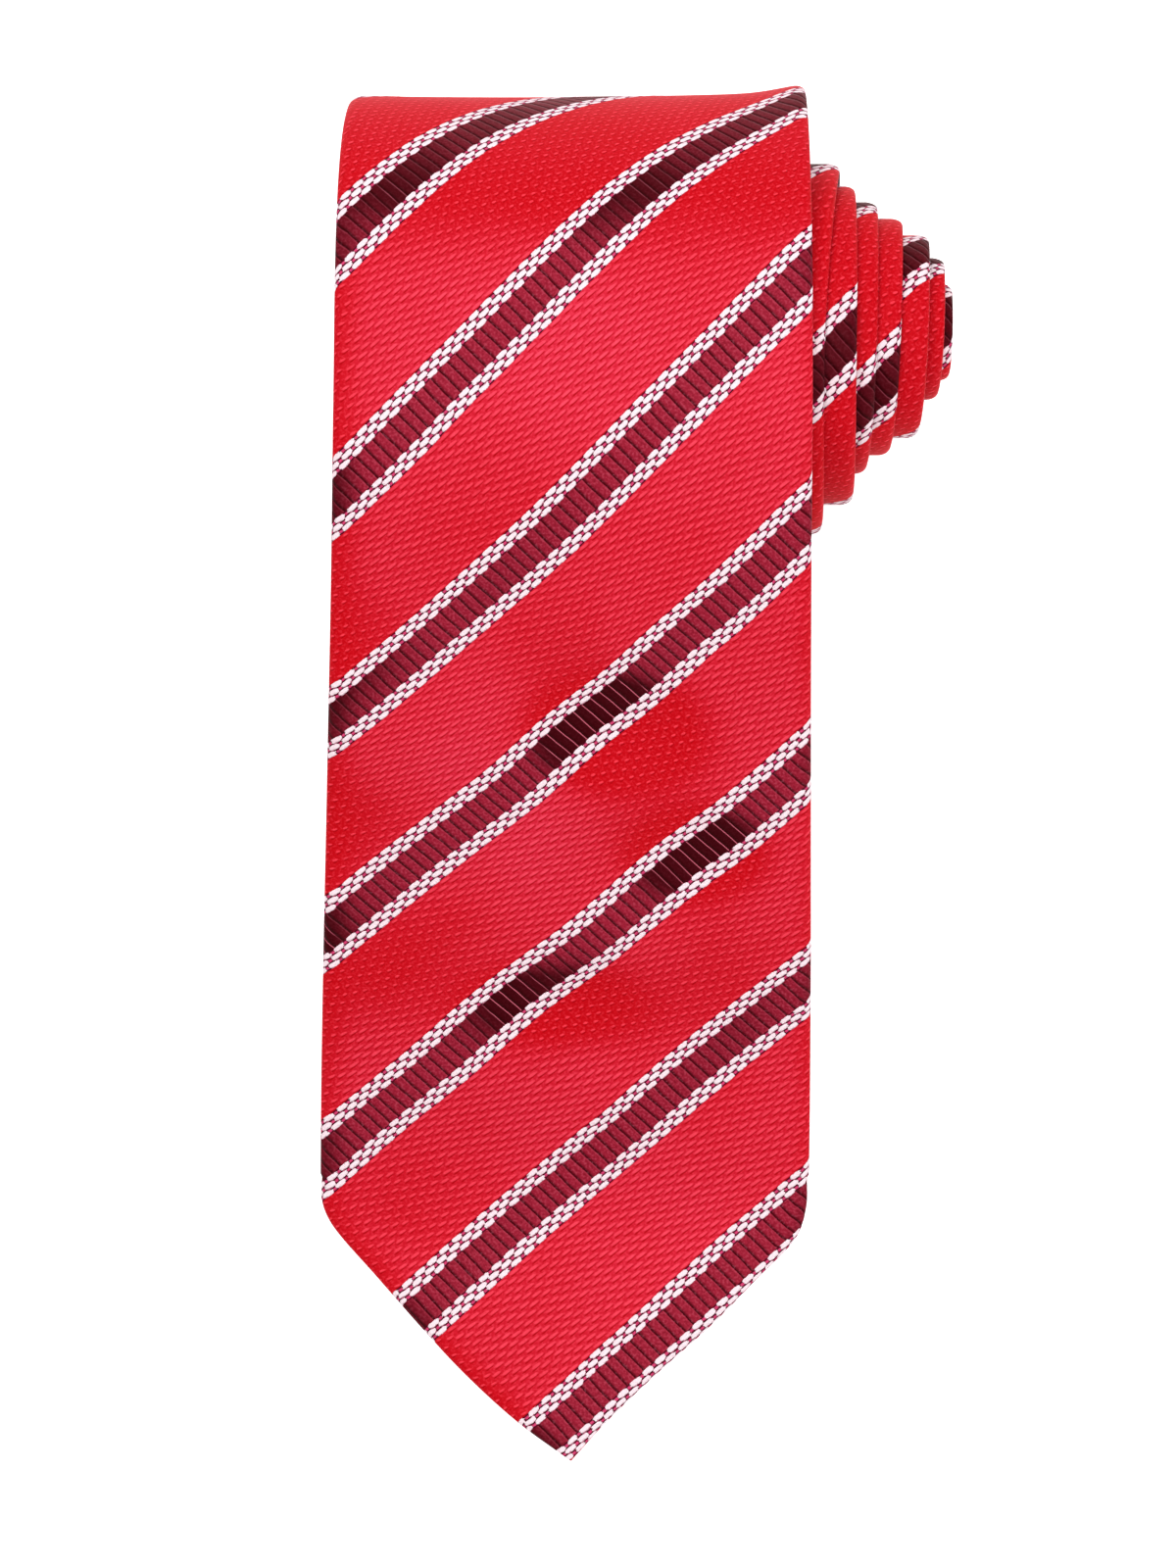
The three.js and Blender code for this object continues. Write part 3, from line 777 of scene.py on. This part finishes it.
piece = thread_piece("blade_slip_stitch", slip_path(SEAM_S + 2, LEAVE_S), SLIP_RADIUS, thread)
bends(piece, "slip_stitch_blade")
TAIL_TACK_S = LENGTH - TAIL_SEAM
rolled_path = slip_path(LEAVE_S + 1, TAIL_TACK_S)
piece = thread_piece("roll_slip_stitch", rolled_path, SLIP_RADIUS, thread)
rides(piece, "roll", "slip_stitch_roll")


def satin_bar(name, node, body, s, length, width):
    """A bar tack: thread laid to and fro, close together, across the seam."""
    count = int(length / 0.42)
    path = []
    for i, x in enumerate(np.linspace(-length / 2, length / 2, count)):
        ends = (s - width / 2, s + width / 2)
        first, last = ends if i % 2 else ends[::-1]
        path += [(first, x, -1.25), (first * 0.7 + last * 0.3, x, -1.55)]
        path += [(first * 0.3 + last * 0.7, x, -1.55), (last, x, -1.25)]
    rides(thread_piece(name, path, SATIN_RADIUS, thread), body, node)


satin_bar("front_bar_stitches", "front_bar_tack", "blade", SEAM_S + 0.8, 9, 2.4)
satin_bar("tail_bar_stitches", "tail_bar_tack", "roll", TAIL_TACK_S - 1, 7, 2.0)

BACK = -1.3  # height of the tie's back, where labels and keeper lie
RIBBON = 0.35  # thickness of a label
LABEL_WIDTH, CARE_WIDTH = 54, 22


def selvedge(u, v):
    return -0.12 * np.exp(-(((np.abs(u) - 0.88) / 0.05) ** 2)) + 0 * v


def backstitch(name, node, x, start, end, pitch=2.0, n=-1.72):
    """Short stitches in a line along the tie, over the edge of what they hold."""
    path = []
    for s in np.arange(start + 0.6, end - 0.6, pitch):
        path += [(s, x, n + 0.25), (s + 0.25, x, n), (s + 1.15, x, n), (s + 1.4, x, n + 0.25)]
        path += [(s + 1.7, x, n + 0.4)]
    rides(thread_piece(name, path, BACKSTITCH_RADIUS, thread), "blade", node)


label = strip_piece(
    "woven_label", *LABEL_S, BACK - RIBBON, BACK, 0, LABEL_WIDTH, ribbon, "label", selvedge
)
rides(cut_sheet(label, LABEL_WIDTH, LABEL_S[1] - LABEL_S[0]), "blade", "maker_label")
backstitch("label_thread_left", "label_stitch_left", -26, *LABEL_S)
backstitch("label_thread_right", "label_stitch_right", 26, *LABEL_S)
care = strip_piece(
    "care_ribbon_label", *CARE_S, BACK - RIBBON, BACK, 0, CARE_WIDTH, care_ribbon, "care_label",
    lambda u, v: -0.5 * smooth(-0.6, 1, u) * (1 + 0.3 * v),
)
bends(cut_sheet(care, CARE_WIDTH, CARE_S[1] - CARE_S[0]), "care_label")

KEEPER_REACH, KEEPER_SLACK, BAND = 29, 3, 0.9
KEEPER_CUT = (10.2, 60)


def keeper():
    """A folded band of the tie's cloth across the back, slack enough for the tail."""
    s = np.linspace(*KEEPER_S, 24)
    v = np.linspace(1, -1, 110)[None, :]
    u = (2 * (s - s[0]) / (s[-1] - s[0]) - 1)[:, None]
    x = KEEPER_REACH * v + 0 * u
    slack = 1 - smooth(0.66, 0.87, np.abs(v))
    rim = 0.3 * (1 - np.sqrt(np.maximum(0, 1 - np.abs(u) ** 6)))
    near = BACK - KEEPER_SLACK * slack
    upper = (x, near - rim, 7 * u + 0 * v)
    lower = (x, near - BAND + rim, 7 * u + 0 * v)
    piece = sheet_piece("keeper_band", s, upper, lower, silk)
    rides(cut_sheet(piece, *KEEPER_CUT), "blade", "keeper_loop")


keeper()
over_band = BACK - BAND - 0.2
backstitch("keeper_thread_left", "keeper_tack_left", -27.2, *KEEPER_S, n=over_band)
backstitch("keeper_thread_right", "keeper_tack_right", 27.2, *KEEPER_S, n=over_band)

# ---------- Floor, light and camera ----------


def add_floor():
    mesh = bpy.data.meshes.new("floor")
    reach, low = 4.0, -0.00015
    sides = [(-1, -1), (1, -1), (1, 1), (-1, 1)]
    mesh.from_pydata([(x * reach, y * reach, low) for x, y in sides], [], [(0, 1, 2, 3)])
    material = bpy.data.materials.new("pale_floor")
    material.use_nodes = True
    shader = material.node_tree.nodes["Principled BSDF"]
    shader.inputs["Base Color"].default_value = (0.93, 0.93, 0.93, 1)
    shader.inputs["Roughness"].default_value = 0.9
    shader.inputs["Specular IOR Level"].default_value = 0.1
    shader.inputs["Emission Color"].default_value = (1, 1, 1, 1)
    shader.inputs["Emission Strength"].default_value = 0.6
    mesh.materials.append(material)
    floor = bpy.data.objects.new("floor", mesh)
    bpy.context.scene.collection.objects.link(floor)


def add_light(name, location, target, size, power):
    light = bpy.data.lights.new(name, "AREA")
    light.shape, light.size, light.energy = "SQUARE", size, power
    lamp = bpy.data.objects.new(name, light)
    bpy.context.scene.collection.objects.link(lamp)
    lamp.location = location
    direction = np.array(target, float) - np.array(location, float)
    lamp.rotation_mode = "QUATERNION"
    lamp.rotation_quaternion = Vector(direction).to_track_quat("-Z", "Y")


def add_camera(location, lens):
    camera = bpy.data.cameras.new("camera")
    camera.lens, camera.sensor_width = lens, 36
    camera.clip_start, camera.clip_end = 0.01, 50
    view = bpy.data.objects.new("camera", camera)
    view.location = location
    bpy.context.scene.collection.objects.link(view)
    bpy.context.scene.camera = view


def add_world(strength):
    world = bpy.data.worlds.new("studio")
    world.use_nodes = True
    background = world.node_tree.nodes["Background"]
    background.inputs["Color"].default_value = (1, 1, 1, 1)
    background.inputs["Strength"].default_value = strength
    bpy.context.scene.world = world


add_camera(location=(-0.0078, 0.0008, 1.1), lens=136.7)
add_floor()
add_light("overhead", (0, 0.15, 1.7), (0, 0, 0), size=1.3, power=19)
add_light("key", (-0.25, 1.1, 1.3), (0, 0, 0), size=0.6, power=9)
add_light("fill", (0.9, -0.7, 1.0), (0, 0, 0.02), size=0.9, power=5)
add_world(strength=0.5)
bpy.context.scene.view_settings.view_transform = "Standard"
